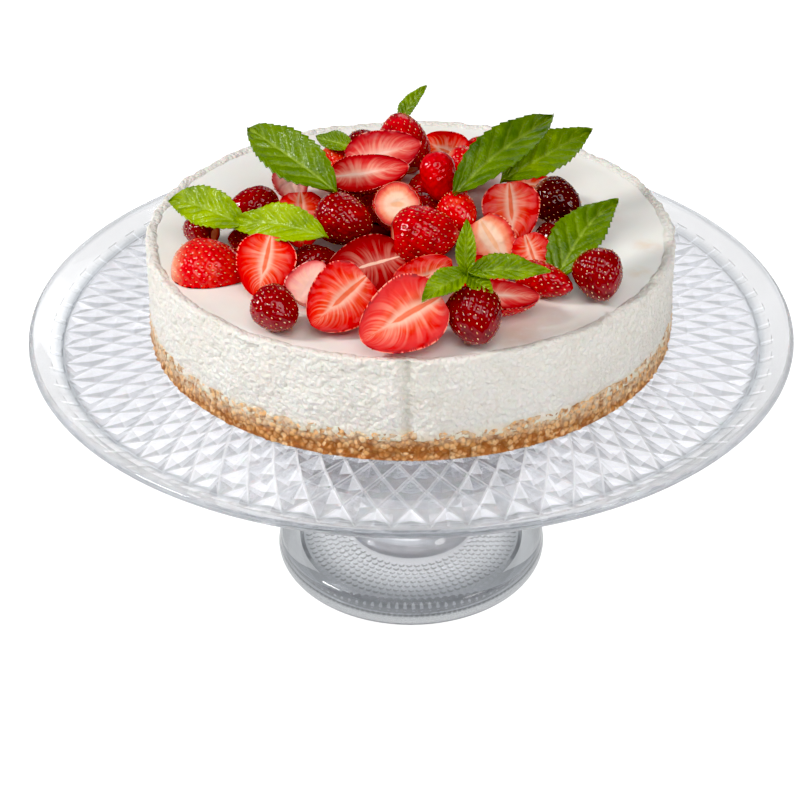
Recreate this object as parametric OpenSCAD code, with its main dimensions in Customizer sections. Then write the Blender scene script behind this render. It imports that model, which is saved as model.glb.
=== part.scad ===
// Footed glass cake stand with a round strawberry cheesecake resting on it.
// Millimetres, +Z up, origin on the table at the centre of the foot.

/* [Glass plate] */
// Diameter of the plate over its lip
plate_d = 370; // [350:5:420]
// Height of the plate's flat top above the table
plate_top = 144; // [120:1:180]
// Thickness of the glass
plate_t = 5.5; // [4:0.5:8]
// Radius of the flat, where the sloping rim starts
plate_flat_r = 170; // [150:1:170]
// Height of the rim above the flat
rim_h = 7; // [5:0.5:12]
// Thickness of the rounded lip
lip_t = 4; // [3:0.5:5]

/* [Glass foot] */
// Diameter of the foot
foot_d = 144; // [120:2:180]
// Thickness of the foot's solid disc at its rounded edge
foot_t = 16; // [13:1:20]
// Radius of the disc's rounded edges
foot_round_r = 5; // [3:0.5:6]
// Width of the ring that the foot stands on
rest_w = 7; // [4:1:12]
// Depth of the shallow hollow under the foot
hollow_h = 2; // [1:0.5:3]
// Radius of the stem at its waist
stem_r = 26; // [18:1:30]
// Radius where the stem flares into the foot
stem_foot_r = 41; // [32:1:50]
// Radius of the stem where it meets the plate
stem_top_r = 46; // [36:1:60]
// Height of the stem's waist above the table
waist_z = 62; // [55:1:80]

/* [Cheesecake] */
// Radius of the crumb base at the plate
crumb_r = 128; // [110:1:140]
// Thickness of the crumb base
crumb_h = 12.5; // [8:0.5:20]
// Height of the whole cake to its raised rim
cake_h = 49; // [35:1:70]
// Amount that the side leans in from the plate to the rim
cake_taper = 2.5; // [0:0.5:6]
// Width of the raised rim round the top
cake_rim_w = 4; // [2:0.5:8]
// Depth of the top below the raised rim
cake_sink = 1; // [0.5:0.5:3]
// Thickness of the cream layer on top
cream_t = 2; // [1:0.5:5]

/* [Mint] */
// Thickness of a mint leaf
leaf_t = 0.8; // [0.6:0.1:1.5]

/* [Hidden] */
$fn = 96;
cake_top = plate_top + cake_h - cake_sink;
cake_top_r = crumb_r - cake_taper;
cream_r = cake_top_r - cake_rim_w;
crumb_lean = cake_taper * crumb_h / cake_h;
plate_r = plate_d / 2;
foot_r = foot_d / 2;

// Strawberries: name, how it is cut, place of its middle [x, y, height above the cream], length, girth,
// and its turn [spin in the cut face, tilt of the face, heading]. A cut face looks up at tilt 0,
// forwards at tilt 90 and down at tilt 180. The tip points right at spin 0 and back at spin 90.
BERRIES = [
    ["half_berry_01", "half", [-89, -47, 0], 36, 31, [8, 180, 0]],
    ["half_berry_02", "half", [-64, -66, 13], 28, 27, [-98, 55, -8]],
    ["half_berry_03", "half", [-43, -77, 12], 21, 20, [60, 40, 0]],
    ["half_berry_04", "half", [-30, -100, 15], 31, 29, [218, 60, 6]],
    ["half_berry_05", "half", [-4, -116, 16], 38, 31, [206, 55, 6]],
    ["half_berry_06", "half", [6, -86, 18], 28, 20, [35, 60, 0]],
    ["half_berry_07", "half", [40, -88, 11], 31, 20, [-5, 12, 0]],
    ["half_berry_08", "half", [-20, -69, 15], 36, 28, [190, 35, 12]],
    ["half_berry_09", "half", [-50, -25, 15], 26, 23, [-88, 60, 0]],
    ["half_berry_10", "half", [-18, -13, 34], 36, 22, [10, 25, 0]],
    ["half_berry_11", "half", [-12, 8, 34], 36, 24, [15, 45, 0]],
    ["half_berry_12", "half", [46, -31, 21], 28, 27, [-88, 60, 6]],
    ["half_berry_13", "half", [38, -50, 15], 27, 21, [-62, 56, 6]],
    ["half_berry_14", "half", [62, 22, 10], 30, 18, [-4, 15, 0]],
    ["half_berry_15", "half", [55, -57, 11], 24, 18, [-70, 60, 0]],
    ["half_berry_16", "half", [33, -64, 9], 24, 18, [0, 30, 0]],
    ["half_berry_17", "half", [17, 56, 14], 26, 22, [160, 50, -15]],
    ["half_berry_18", "half", [-58, 27, 9], 20, 18, [-80, 55, 20]],
    ["end_cut_berry_01", "end", [-6, -32, 26], 26, 23, [-90, -36, 0]],
    ["whole_berry_01", "whole", [-56, -99, 10], 22, 20, [-50, 10, 0]],
    ["whole_berry_02", "whole", [27, -109, 12], 25, 24, [-75, 30, 0]],
    ["whole_berry_03", "whole", [82, -72, 11], 23, 22, [-80, 40, 0]],
    ["whole_berry_04", "whole", [7, -55, 23], 30, 26, [8, 0, 0]],
    ["whole_berry_05", "whole", [-29, -37, 21], 27, 24, [-30, 10, 0]],
    ["whole_berry_06", "whole", [59, -70, 8], 27, 16, [-32, 0, 0]],
    ["whole_berry_07", "whole", [-75, -1, 10], 25, 20, [200, 0, 0]],
    ["whole_berry_08", "whole", [-4, 41, 25], 30, 27, [100, 50, 0]],
    ["whole_berry_09", "whole", [13, -14, 31], 23, 17, [-85, 55, 0]],
    ["whole_berry_10", "whole", [8, -15, 14], 24, 18, [-20, 0, 0]],
    ["whole_berry_11", "whole", [22, -35, 23], 20, 18, [-60, 20, 0]],
    ["whole_berry_12", "whole", [70, -3, 13], 25, 22, [-40, 20, 0]],
    ["whole_berry_13", "whole", [66, -36, 9], 24, 17, [-80, 0, 0]],
    ["whole_berry_14", "whole", [-41, -55, 9], 22, 17, [0, 0, 0]],
    ["whole_berry_15", "whole", [-65, -16, 8], 17, 15, [150, 0, 0]],
    ["whole_berry_16", "whole", [-77, -28, 7], 15, 14, [170, 0, 0]],
    ["whole_berry_17", "whole", [-24, 67, 11], 22, 20, [120, 10, 0]],
    ["whole_berry_18", "whole", [-37, 50, 10], 21, 19, [150, 10, 0]],
    ["whole_berry_19", "whole", [28, 34, 16], 20, 17, [-20, 20, 0]],
    ["whole_berry_20", "whole", [38, 64, 9], 22, 18, [40, 0, 0]],
    ["whole_berry_21", "whole", [-98, -20, 8], 18, 16, [150, 0, 0]],
    ["whole_berry_22", "whole", [-18, 4, 11], 30, 21, [170, 0, 0]],
    ["whole_berry_23", "whole", [14, 10, 12], 30, 23, [20, 0, 0]],
    ["whole_berry_24", "whole", [-17, 26, 9], 24, 17, [170, 0, 0]],
    ["whole_berry_25", "whole", [-1, 65, 9], 20, 18, [90, 0, 0]]
];

// Mint leaves: name, place of the leaf's base [x, y, height above the cream], length, width,
// radius that it arches to, and its turn [roll, pitch up, heading]
LEAVES = [
    ["mint_leaf_01", [-33, -32, 31], 54, 24, 60, [-40, 38, 155]],
    ["mint_leaf_02", [-74, -38, 18], 40, 20, 45, [-40, 25, 165]],
    ["mint_leaf_03", [-36, -61, 24], 48, 19, 60, [-40, 14, 165]],
    ["mint_leaf_04", [-28, 38, 22], 24, 11, 40, [-40, 15, 150]],
    ["mint_leaf_05", [-4, 53, 30], 22, 10, 40, [0, 55, 50]],
    ["mint_leaf_06", [18, -34, 31], 72, 22, 90, [30, 33, 38]],
    ["mint_leaf_07", [43, 1, 21], 58, 23, 90, [30, 25, 30]],
    ["mint_leaf_08", [63, -67, 4], 50, 24, 60, [10, 48, 49]]
];

// Sprig of four small leaves, from one joint: length, width, radius it arches to, turn
SPRIG_AT = [23, -101, 28];
SPRIG = [
    [23, 9, 60, [0, 70, 92]],
    [36, 14, 50, [25, 14, 2]],
    [24, 14, 60, [-15, 0, 220]],
    [14, 10, 30, [20, -10, 320]]
];

// Arc of points in a profile, from one angle to another
function arc(centre, r, from, to, steps) = [
    for (i = [0:steps]) let (a = from + (to - from) * i / steps)
        [centre[0] + r * cos(a), centre[1] + r * sin(a)]
];

// A strawberry is widest at this share of its length from the stem end. Behind that it follows an
// ellipse that would close just past the stem end, and ahead of it a rounded cone.
berry_wide_at = 0.32;
berry_shoulder = 0.36;
berry_cone = 0.62;
shoulder_steps = 4;
cone_steps = 8;

// Strawberry's radius, as a share of its girth's half, at a share of its length from the stem end
function berry_share(t) = t < berry_wide_at
    ? sqrt(1 - pow((berry_wide_at - t) / berry_shoulder, 2))
    : pow(1 - pow((t - berry_wide_at) / (1 - berry_wide_at), 2), berry_cone);

function berry_profile(length, girth) = concat(
    [[0, 0]],
    [for (i = [0:shoulder_steps - 1]) let (t = berry_wide_at * i / shoulder_steps)
        [berry_share(t) * girth / 2, t * length]],
    [for (i = [0:cone_steps - 1]) let (t = berry_wide_at + (1 - berry_wide_at) * sin(90 * i / cone_steps))
        [berry_share(t) * girth / 2, t * length]],
    [[0, length]]
);

// A mint leaf is widest near its base and runs out to a point
leaf_skew = 0.75;
leaf_fullness = 0.9;

// Leaf's half width, as a share of its widest half, at a share of its length from the base
function leaf_share(t) = pow(sin(180 * pow(t, leaf_skew)), leaf_fullness);

module glass_plate() {
    lip = [plate_r - lip_t / 2, plate_top + rim_h - lip_t / 2];
    lip_steps = 8;
    rim_inset = 2;
    color("lavender", 0.5)
        rotate_extrude()
            polygon(concat(
                [[0, plate_top - plate_t], [plate_flat_r - rim_inset, plate_top - plate_t]],
                arc(lip, lip_t / 2, -60, 120, lip_steps),
                [[plate_flat_r, plate_top], [0, plate_top]]
            ));
}

module glass_foot() {
    under_plate = plate_top - plate_t;
    rest_r = foot_r - foot_round_r;
    side_lean = 1;
    crown_h = 1.5;
    flare_h = 30;
    flare_z = foot_t + crown_h;
    round_steps = 5;
    sweep_steps = 7;
    color("lavender", 0.5)
        rotate_extrude()
            polygon(concat(
                [[0, hollow_h], [rest_r - rest_w - hollow_h, hollow_h], [rest_r - rest_w, 0]],
                arc([rest_r, foot_round_r], foot_round_r, -90, 0, round_steps),
                arc([rest_r - side_lean, foot_t - foot_round_r], foot_round_r, 0, 90, round_steps),
                [for (i = [0:sweep_steps]) let (a = 90 * i / sweep_steps)
                    [stem_r + (stem_foot_r - stem_r) * (1 - sin(a)), flare_z + flare_h * (1 - cos(a))]],
                [for (i = [0:sweep_steps]) let (a = 90 * i / sweep_steps)
                    [stem_r + (stem_top_r - stem_r) * (1 - cos(a)),
                        waist_z + (under_plate - waist_z) * sin(a)]],
                [[0, under_plate]]
            ));
}

module crumb_base() {
    color("peru")
        translate([0, 0, plate_top])
            rotate_extrude()
                polygon([[0, 0], [crumb_r, 0], [crumb_r - crumb_lean, crumb_h], [0, crumb_h]]);
}

module cheese_filling() {
    seat_z = cake_h - cake_sink - cream_t;
    edge_bevel = 1.5;
    inner_bevel = 1;
    color("ivory")
        translate([0, 0, plate_top])
            rotate_extrude()
                polygon([
                    [0, crumb_h], [crumb_r - crumb_lean, crumb_h], [cake_top_r, cake_h - edge_bevel],
                    [cake_top_r - edge_bevel, cake_h], [cream_r + inner_bevel, cake_h],
                    [cream_r, cake_h - cake_sink], [cream_r, seat_z], [0, seat_z]
                ]);
}

module cream_top() {
    color("floralwhite")
        translate([0, 0, cake_top - cream_t])
            cylinder(h = cream_t, r = cream_r);
}

// One strawberry about its own middle, with its stem end at -X and its tip at +X
module berry_shape(cut, length, girth) {
    kept_share = 0.6;
    intersection() {
        translate([-length / 2, 0, 0])
            rotate([90, 0, 90])
                rotate_extrude()
                    polygon(berry_profile(length, girth));
        if (cut == "half")
            translate([-length, -girth, -girth])
                cube([2 * length, 2 * girth, girth]);
        if (cut == "end")
            translate([-length, -girth, -girth])
                cube([length * (0.5 + kept_share), 2 * girth, 2 * girth]);
        if (cut == "whole")
            translate([-length, -girth, -girth])
                cube([2 * length, 2 * girth, 2 * girth]);
    }
}

module strawberry(row) {
    turn = row[5];
    color(row[1] == "whole" ? "crimson" : "tomato")
        translate([row[2][0], row[2][1], cake_top + row[2][2]])
            rotate([0, 0, turn[2]])
                rotate([turn[1], 0, 0])
                    rotate([0, 0, turn[0]])
                        berry_shape(row[1], row[3], row[4]);
}

// One leaf from its base at the origin, running along +X and arching down
module leaf_shape(length, width, arch_r) {
    outline_steps = 10;
    stalk_w = 1.6;
    intersection() {
        translate([0, 0, -arch_r])
            linear_extrude(2 * arch_r)
                polygon(concat(
                    [for (i = [0:outline_steps]) let (t = i / outline_steps)
                        [t * length, -max(stalk_w * (1 - t) / 2, leaf_share(t) * width / 2)]],
                    [for (i = [outline_steps - 1:-1:0]) let (t = i / outline_steps)
                        [t * length, max(stalk_w * (1 - t) / 2, leaf_share(t) * width / 2)]]
                ));
        translate([0, 0, -arch_r])
            rotate([90, 0, 0])
                difference() {
                    cylinder(h = 2 * width, r = arch_r, center = true);
                    cylinder(h = 3 * width, r = arch_r - leaf_t, center = true);
                }
    }
}

module turned_leaf(length, width, arch_r, turn) {
    rotate([0, 0, turn[2]])
        rotate([0, -turn[1], 0])
            rotate([turn[0], 0, 0])
                leaf_shape(length, width, arch_r);
}

module mint_leaf(row) {
    color("olivedrab")
        translate([row[1][0], row[1][1], cake_top + row[1][2]])
            turned_leaf(row[2], row[3], row[4], row[5]);
}

module mint_sprig() {
    stalk_r = 1.2;
    stalk_h = 3;
    color("forestgreen")
        translate([SPRIG_AT[0], SPRIG_AT[1], cake_top + SPRIG_AT[2]]) {
            for (l = SPRIG)
                turned_leaf(l[0], l[1], l[2], l[3]);
            translate([0, 0, -stalk_h])
                cylinder(h = stalk_h, r = stalk_r);
        }
}

glass_plate();
glass_foot();
crumb_base();
cheese_filling();
cream_top();
mint_sprig();
for (b = BERRIES) strawberry(b);
for (l = LEAVES) mint_leaf(l);
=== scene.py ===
"""Looks of a footed glass cake stand with a strawberry cheesecake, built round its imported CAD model."""

import math
import random

import bmesh
import bpy
import numpy as np
from mathutils import Matrix, Vector, noise
from mathutils.kdtree import KDTree


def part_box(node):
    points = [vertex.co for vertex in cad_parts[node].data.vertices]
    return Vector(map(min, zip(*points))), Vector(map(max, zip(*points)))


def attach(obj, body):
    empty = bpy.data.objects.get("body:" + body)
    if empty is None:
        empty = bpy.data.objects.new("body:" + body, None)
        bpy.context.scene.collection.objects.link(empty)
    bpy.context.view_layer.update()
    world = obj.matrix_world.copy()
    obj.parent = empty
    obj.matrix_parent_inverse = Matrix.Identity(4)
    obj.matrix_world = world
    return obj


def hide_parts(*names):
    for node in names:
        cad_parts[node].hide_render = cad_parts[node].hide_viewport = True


MM = 0.001
GOLDEN_ANGLE = math.pi * (3.0 - math.sqrt(5.0))

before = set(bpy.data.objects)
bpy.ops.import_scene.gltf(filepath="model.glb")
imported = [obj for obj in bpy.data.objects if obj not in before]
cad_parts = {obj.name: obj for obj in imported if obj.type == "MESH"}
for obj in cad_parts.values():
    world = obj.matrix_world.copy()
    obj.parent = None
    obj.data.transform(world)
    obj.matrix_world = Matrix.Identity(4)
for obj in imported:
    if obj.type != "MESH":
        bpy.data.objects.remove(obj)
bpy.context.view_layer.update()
random.seed(7)


# ---------------------------------------------------------------- mesh helpers

def add_to_scene(name, data):
    """An object in the scene that holds a mesh, a lamp or a camera."""
    made = bpy.data.objects.new(name, data)
    bpy.context.scene.collection.objects.link(made)
    return made


def new_object(name, verts, faces, materials):
    """A smooth mesh object from lists of points and faces, with its materials in order."""
    mesh = bpy.data.meshes.new(name)
    mesh.from_pydata([tuple(v) for v in verts], [], [tuple(f) for f in faces])
    for material in materials:
        mesh.materials.append(material)
    mesh.polygons.foreach_set("use_smooth", [True] * len(mesh.polygons))
    mesh.update()
    return add_to_scene(name, mesh)


def set_attribute(mesh, name, values):
    """Stores one colour for each vertex, which the materials read by name."""
    layer = mesh.color_attributes.new(name, "FLOAT_COLOR", "POINT")
    flat = np.ones((len(mesh.vertices), 4), np.float32)
    flat[:, :3] = values
    layer.data.foreach_set("color", flat.ravel())


def band(first, second, columns, closed=True):
    """Faces between two rings, or open rows, of as many points, given by their first indices."""
    return [
        (first + j, first + (j + 1) % columns, second + (j + 1) % columns, second + j)
        for j in range(columns if closed else columns - 1)
    ]


def fan(tip, ring, columns, closed=True):
    """Faces between a point and a ring, or an open row, given by its first index."""
    return [(tip, ring + (j + 1) % columns, ring + j) for j in range(columns if closed else columns - 1)]


def lathe(profile, columns, shape):
    """Points, faces and marks of a closed turned solid. The profile runs from the axis to the axis.

    shape(radii, angles, heights) gives new radii and heights for one ring, so that a pattern can be
    pressed into the surface, and a mark of three numbers for each of its points.
    """
    angles = np.arange(columns) * 2 * math.pi / columns
    verts, marks, rings = [(0.0, 0.0, profile[0][1])], [], []
    for radius, z in profile[1:-1]:
        radii, heights, ring_marks = shape(np.full(columns, radius), angles, np.full(columns, z))
        rings.append(len(verts))
        verts.extend(zip(radii * np.cos(angles), radii * np.sin(angles), heights))
        marks.extend(ring_marks)
    verts.append((0.0, 0.0, profile[-1][1]))
    faces = fan(0, rings[0], columns)
    for first, second in zip(rings, rings[1:]):
        faces.extend(band(first, second, columns))
    faces.extend(face[::-1] for face in fan(len(verts) - 1, rings[-1], columns))
    return verts, faces, [marks[0], *marks, marks[-1]]


def each_point(shape):
    """A shape for lathe from one that takes a point: (radius, angle, z) to (radius, z, mark)."""
    def shape_ring(radii, angles, heights):
        new_r, new_z, marks = zip(*(shape(*point) for point in zip(radii, angles, heights)))
        return np.array(new_r), np.array(new_z), marks
    return shape_ring


def turned(name, profile, columns, shape, material, attribute):
    """A turned solid, with the marks from its shape stored for the material to read."""
    verts, faces, marks = lathe(profile, columns, shape)
    piece = new_object(name, verts, faces, [material])
    set_attribute(piece.data, attribute, marks)
    return piece


def arc(centre, radius, start, end, steps):
    """Points of an arc in a profile, with angles in degrees."""
    turns = [math.radians(start + (end - start) * i / steps) for i in range(steps + 1)]
    return [(centre[0] + radius * math.cos(a), centre[1] + radius * math.sin(a)) for a in turns]


def densify(profile, step):
    """Adds points along a profile so that no stretch is longer than step."""
    out = [profile[0]]
    for (r0, z0), (r1, z1) in zip(profile, profile[1:]):
        parts = max(1, math.ceil(math.hypot(r1 - r0, z1 - z0) / step))
        out.extend((r0 + (r1 - r0) * i / parts, z0 + (z1 - z0) * i / parts) for i in range(1, parts + 1))
    return out


def mark_sharp(mesh, limit):
    """Marks edges sharper than limit, so that shading breaks along them."""
    bm = bmesh.new()
    bm.from_mesh(mesh)
    for edge in bm.edges:
        if len(edge.link_faces) == 2 and edge.calc_face_angle(0.0) > limit:
            edge.smooth = False
    bm.to_mesh(mesh)
    bm.free()


# ------------------------------------------------------------- material helpers

class Nodes:
    """A node tree, with short calls for the nodes that the materials and the sky share."""

    def __init__(self, tree):
        self.tree = tree

    def feed(self, value, socket):
        """Gives a socket a number, a colour or another node's output."""
        if isinstance(value, (int, float)):
            socket.default_value = value
        elif isinstance(value, tuple):
            socket.default_value = (*value, 1.0)
        else:
            self.tree.links.new(value, socket)

    def node(self, kind, inputs=None, **settings):
        """A new node with its settings, and with what feeds its inputs, given by name or number."""
        made = self.tree.nodes.new(kind)
        for key, value in settings.items():
            setattr(made, key, value)
        for socket, value in (inputs or {}).items():
            self.feed(value, made.inputs[socket])
        return made

    def coords(self, kind="Object"):
        return self.node("ShaderNodeTexCoord").outputs[kind]

    def ray(self, kind):
        """What the light path says of a ray: Is Camera Ray is 1 or 0, and Ray Depth is a count."""
        return self.node("ShaderNodeLightPath").outputs[kind]

    def noise(self, scale, detail=3.0, roughness=0.5, vector=None):
        inputs = {"Scale": scale, "Detail": detail, "Roughness": roughness, "Vector": vector or self.coords()}
        return self.node("ShaderNodeTexNoise", inputs).outputs["Fac"]

    def cells(self, scale, feature="F1"):
        return self.node("ShaderNodeTexVoronoi", {"Scale": scale, "Vector": self.coords()}, feature=feature)

    def ramp(self, value, stops, blend="EASE"):
        made = self.node("ShaderNodeValToRGB", {"Fac": value})
        made.color_ramp.interpolation = blend
        while len(made.color_ramp.elements) < len(stops):
            made.color_ramp.elements.new(0.5)
        for element, (place, colour) in zip(made.color_ramp.elements, stops):
            element.position = place
            element.color = (*colour, 1.0)
        return made.outputs["Color"]

    def mask(self, value, low, high):
        """0 below low and 1 above high, or the other way round if low is above high."""
        inputs = {
            "Value": value, "From Min": min(low, high), "From Max": max(low, high),
            "To Min": 0.0 if low < high else 1.0, "To Max": 1.0 if low < high else 0.0,
        }
        return self.node("ShaderNodeMapRange", inputs, interpolation_type="SMOOTHSTEP").outputs["Result"]

    def math(self, operation, a, b):
        return self.node("ShaderNodeMath", {0: a, 1: b}, operation=operation).outputs["Value"]

    def times(self, a, b):
        return self.math("MULTIPLY", a, b)

    def plus(self, a, b):
        return self.math("ADD", a, b)

    def minus(self, a, b):
        return self.math("SUBTRACT", a, b)

    def larger(self, a, b):
        return self.math("MAXIMUM", a, b)

    def vary(self, value, noise, reach):
        """Moves a value by a noise, up or down by half of reach at the most."""
        return self.plus(value, self.times(self.minus(noise, 0.5), reach))

    def length(self, vector):
        return self.node("ShaderNodeVectorMath", {0: vector}, operation="LENGTH").outputs["Value"]

    def mix(self, factor, a, b, blend="MIX"):
        inputs = {0: factor, 6: a, 7: b}
        return self.node("ShaderNodeMix", inputs, data_type="RGBA", blend_type=blend).outputs[2]

    def blend(self, share, first, second):
        """Mixes two shaders: all of the first at 0 and all of the second at 1."""
        return self.node("ShaderNodeMixShader", {0: share, 1: first, 2: second}).outputs["Shader"]

    def split(self, colour):
        made = self.node("ShaderNodeSeparateColor", {"Color": colour})
        return made.outputs["Red"], made.outputs["Green"], made.outputs["Blue"]

    def axes(self, vector):
        made = self.node("ShaderNodeSeparateXYZ", {"Vector": vector})
        return made.outputs["X"], made.outputs["Y"], made.outputs["Z"]

    def attribute(self, name):
        return self.split(self.node("ShaderNodeAttribute", attribute_name=name).outputs["Color"])

    def combine(self, x, y, z):
        return self.node("ShaderNodeCombineXYZ", {0: x, 1: y, 2: z}).outputs["Vector"]


class Shader(Nodes):
    """A new material: its tree, with short calls for its surface."""

    def __init__(self, name):
        self.material = bpy.data.materials.new(name)
        self.material.use_nodes = True
        super().__init__(self.material.node_tree)
        self.surface = self.tree.nodes["Principled BSDF"]
        self.output = self.tree.nodes["Material Output"]

    def set(self, **values):
        """Feeds inputs of the surface by name, with _ for a space."""
        for socket, value in values.items():
            self.feed(value, self.surface.inputs[socket.replace("_", " ")])

    def bump(self, height, strength, distance):
        inputs = {"Height": height, "Strength": strength, "Distance": distance}
        self.set(Normal=self.node("ShaderNodeBump", inputs).outputs["Normal"])

    def finish(self, colour, height, strength, distance):
        """Gives the surface its colour and bump, and returns the material."""
        self.set(Base_Color=colour)
        self.bump(height, strength, distance)
        return self.material


# --------------------------------------------------------------------- materials

TINT_REACH = 200 * MM
GLASS_BOUNCES = 4


def glass_material(name, tints_and_shade, shade, straight, haze=0.0):
    """Pressed glass. Lamps shine through it, and light that has wandered long inside it leaves it.

    The tints are (distance from the axis, colour): a faint tint, with painted shade in rings where
    thick glass is seen edge on. straight is the share of light that passes unbent, haze the share that
    a worn edge scatters. The attribute holds the painted shade of a pressed notch.
    """
    s = Shader(name)
    s.set(Transmission_Weight=1.0, IOR=1.5, Roughness=0.03)
    x, y, _ = s.axes(s.coords())
    stops = [(radius / TINT_REACH, tint) for radius, tint in tints_and_shade]
    # Painted shade: the ramp darkens the glass in rings where thick glass is seen edge on.
    colour = s.ramp(s.math("DIVIDE", s.length(s.combine(x, y, 0.0)), TINT_REACH), stops, "LINEAR")
    notch, _, _ = s.attribute("glass")
    # Painted shade: a pressed notch is painted nearly black.
    colour = s.mix(notch, colour, (0.03, 0.034, 0.04))
    s.finish(colour, s.noise(70.0, 2.0), 0.06, 0.4 * MM)
    clear = s.node("ShaderNodeBsdfTransparent", {"Color": s.mix(1.0, colour, shade, "MULTIPLY")})
    long_way = s.math("GREATER_THAN", s.ray("Ray Depth"), GLASS_BOUNCES + 0.5)
    through = s.larger(s.ray("Is Shadow Ray"), s.larger(long_way, straight))
    glass = s.blend(through, s.surface.outputs["BSDF"], clear.outputs["BSDF"])
    scatter = s.node("ShaderNodeBsdfDiffuse")
    s.feed(s.blend(haze, glass, scatter.outputs["BSDF"]), s.output.inputs["Surface"])
    return s.material


def crumb_material():
    """Baked crumb: golden grains of many shades, wetter and more orange near the plate.

    Painted shade darkens the gaps between grains and the hollows, and a painted highlight lightens the
    middles of some grains. Its image in the pressed glass is nearly grey, as in the photo.
    """
    s = Shader("biscuit_crumb")
    s.set(Roughness=0.6, Specular_IOR_Level=0.35, Subsurface_Weight=0.1, Subsurface_Scale=1.0 * MM)
    grain = s.cells(440.0)
    shade, pick, _ = s.split(grain.outputs["Color"])
    tone = s.plus(s.times(shade, 0.6), s.times(s.noise(700.0), 0.4))
    colour = s.ramp(tone, [
        (0.15, (0.30, 0.085, 0.014)), (0.42, (0.46, 0.18, 0.04)), (0.62, (0.64, 0.32, 0.10)),
        (0.82, (0.88, 0.64, 0.36)),
    ], "LINEAR")
    # Painted shade: the gaps between grains are darkened.
    gap = s.mask(grain.outputs["Distance"], 0.4, 0.75)
    colour = s.mix(s.times(gap, 0.65), colour, (0.24, 0.075, 0.012))
    height, wet, high = s.attribute("crumb")
    powder = s.times(high, s.mask(s.noise(330.0, 3.0, 0.6), 0.3, 0.6))
    colour = s.mix(s.times(powder, 0.7), colour, (0.88, 0.74, 0.54))
    # Painted shade in the low hollows, weaker towards the top.
    hollow = s.times(s.mask(height, 0.55, 0.1), s.minus(0.6, s.times(high, 0.45)))
    colour = s.mix(hollow, colour, (0.20, 0.062, 0.010))
    wet_noise = s.times(wet, s.mask(s.noise(150.0, 2.0), 0.3, 0.7))
    colour = s.mix(s.times(wet_noise, 0.45), colour, (0.54, 0.13, 0.010))
    # Painted highlight on the middles of grains picked at random, stronger towards the top.
    tip = s.times(s.mask(grain.outputs["Distance"], 0.6, 0.25), s.mask(pick, 0.3, 0.7))
    tip = s.times(tip, s.plus(s.times(high, 0.35), 0.55))
    colour = s.mix(tip, colour, (0.86, 0.50, 0.22))
    bent = s.larger(s.ray("Is Transmission Ray"), s.ray("Is Glossy Ray"))
    colour = s.mix(s.times(bent, 0.75), colour, (0.70, 0.70, 0.71))
    rough = s.times(s.noise(1300.0, 4.0, 0.65), 0.6)
    return s.finish(colour, s.minus(rough, grain.outputs["Distance"]), 0.7, 0.7 * MM)


def cheese_material():
    """Set cream cheese: off-white with fine pores.

    Painted shade, slightly warm, darkens the pits, the hollows of the side and the seam's crease.
    """
    s = Shader("cream_cheese")
    s.set(Roughness=0.6, Specular_IOR_Level=0.3, Subsurface_Weight=0.15, Subsurface_Scale=2.0 * MM)
    colour = s.ramp(s.noise(45.0, 4.0, 0.6), [(0.3, (0.83, 0.795, 0.73)), (0.7, (0.885, 0.86, 0.81))])
    pits = s.mask(s.cells(480.0).outputs["Distance"], 0.3, 0.7)
    # Painted shade in the pits.
    colour = s.mix(s.times(pits, 0.2), colour, (0.72, 0.69, 0.62))
    height, low, seam = s.attribute("cheese")
    # Painted shade in the low hollows of the side.
    colour = s.mix(s.times(s.mask(height, 0.3, -0.1), 0.5), colour, (0.74, 0.69, 0.58))
    # Painted shade in the seam's crease.
    colour = s.mix(s.times(seam, 0.55), colour, (0.60, 0.56, 0.47))
    colour = s.mix(s.times(low, 0.35), colour, (0.84, 0.70, 0.45))
    fine = s.minus(s.noise(900.0, 4.0, 0.7), s.times(pits, 0.7))
    return s.finish(colour, fine, 1.0, 0.5 * MM)


def cream_material():
    """Smooth satin cream with faint stains of juice round the fruit, and painted shadow under the pile."""
    s = Shader("cream_layer")
    s.set(Roughness=0.34, Subsurface_Weight=0.15, Subsurface_Scale=2.0 * MM)
    colour = s.ramp(s.noise(22.0, 3.0), [(0.3, (0.87, 0.84, 0.78)), (0.7, (0.90, 0.885, 0.845))])
    pink, beige, dark = s.attribute("stain_and_shadow")
    ragged = s.noise(130.0, 4.0, 0.6)
    # The pink share is juice stain, and under the pile of fruit also painted shadow.
    colour = s.mix(s.times(pink, s.mask(ragged, 0.2, 0.55)), colour, (0.62, 0.12, 0.085))
    colour = s.mix(s.times(beige, s.mask(ragged, 0.25, 0.65)), colour, (0.74, 0.56, 0.36))
    # Painted shadow: the dark share darkens the cream under the pile of fruit.
    colour = s.mix(dark, colour, (0.12, 0.035, 0.02))
    return s.finish(colour, s.noise(500.0, 3.0), 0.08, 0.3 * MM)


def skin_material():
    """Strawberry skin.

    The attribute holds the share of the length, the ripeness and how pale the shoulder is.
    """
    s = Shader("strawberry_skin")
    s.set(Roughness=0.2, Specular_IOR_Level=0.15, Coat_Weight=0.45, Coat_Roughness=0.06)
    s.set(Subsurface_Weight=0.02, Subsurface_Scale=0.8 * MM)
    along, ripe, bare = s.attribute("berry")
    mottle = s.noise(170.0, 3.0, 0.6)
    colour = s.ramp(s.vary(ripe, mottle, 0.5), [
        (0.0, (0.86, 0.10, 0.03)), (0.28, (0.70, 0.006, 0.012)), (0.55, (0.27, 0.001, 0.007)),
        (0.8, (0.09, 0.001, 0.004)), (1.0, (0.04, 0.0015, 0.002)),
    ])
    pale = s.times(s.mask(s.vary(along, mottle, 0.22), 0.22, 0.0), bare)
    colour = s.mix(s.times(pale, 0.9), colour, (0.88, 0.38, 0.22))
    return s.finish(colour, s.noise(650.0, 3.0), 0.16, 0.2 * MM)


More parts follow.
